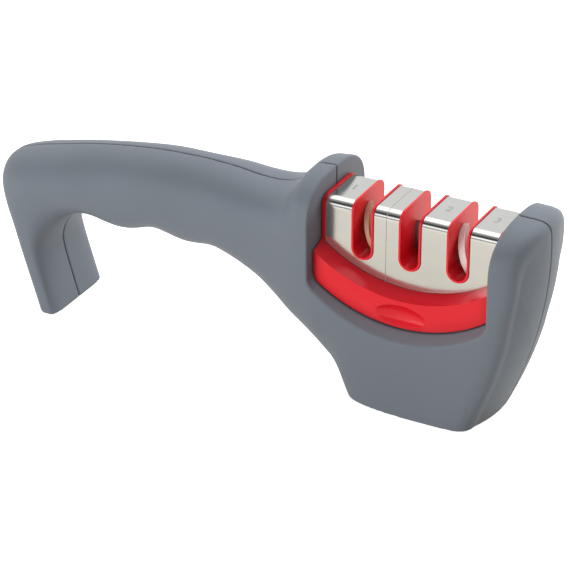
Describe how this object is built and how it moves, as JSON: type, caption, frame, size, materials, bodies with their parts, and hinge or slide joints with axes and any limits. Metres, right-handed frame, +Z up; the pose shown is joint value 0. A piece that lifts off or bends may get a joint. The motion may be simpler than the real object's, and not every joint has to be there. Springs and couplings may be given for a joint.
{
  "type": "hand-held knife sharpener",
  "caption": "Hand-held pull-through knife sharpener: arched handle housing that rests on a pad and a heel, with a lift-out slotted cartridge of crossed abrasive plates.",
  "frame": {"origin": "middle of the bounding box on the worktop, below the middle of the length", "axes": "+X from the heel of the handle to the nose, +Y to the rear, +Z up; a knife is drawn along Y"},
  "size_m": [0.2027, 0.0448, 0.0743],
  "materials": {
    "housing": "fine spark-eroded matt moulding, bluish grey",
    "cartridge": "satin to gloss moulding, red",
    "cover": "satin brushed sheet",
    "screws": "zinc plated",
    "pads": "matt non-slip rubber",
    "diamond": "diamond-coated, fine oblique ridges",
    "carbide": "ground tungsten carbide",
    "ceramic": "fine white ceramic"
  },
  "bodies": {
    "housing": {"housing_front": "housing", "housing_rear": "housing", "housing_screws": "screws", "base_pad": "pads", "foot_pad": "pads"},
    "cartridge": {"cartridge_front": "cartridge", "cartridge_rear": "cartridge", "steel_cover": "cover", "cartridge_screws": "screws", "diamond_plate_front": "diamond", "diamond_plate_rear": "diamond", "carbide_blade_front": "carbide", "carbide_blade_rear": "carbide", "ceramic_plate_front": "ceramic", "ceramic_plate_rear": "ceramic"}
  },
  "joints": [
    {"name": "cartridge_lift", "type": "slide", "parent": "housing", "child": "cartridge", "axis": [0, 0, 1], "range_m": [0, 0.045]}
  ]
}
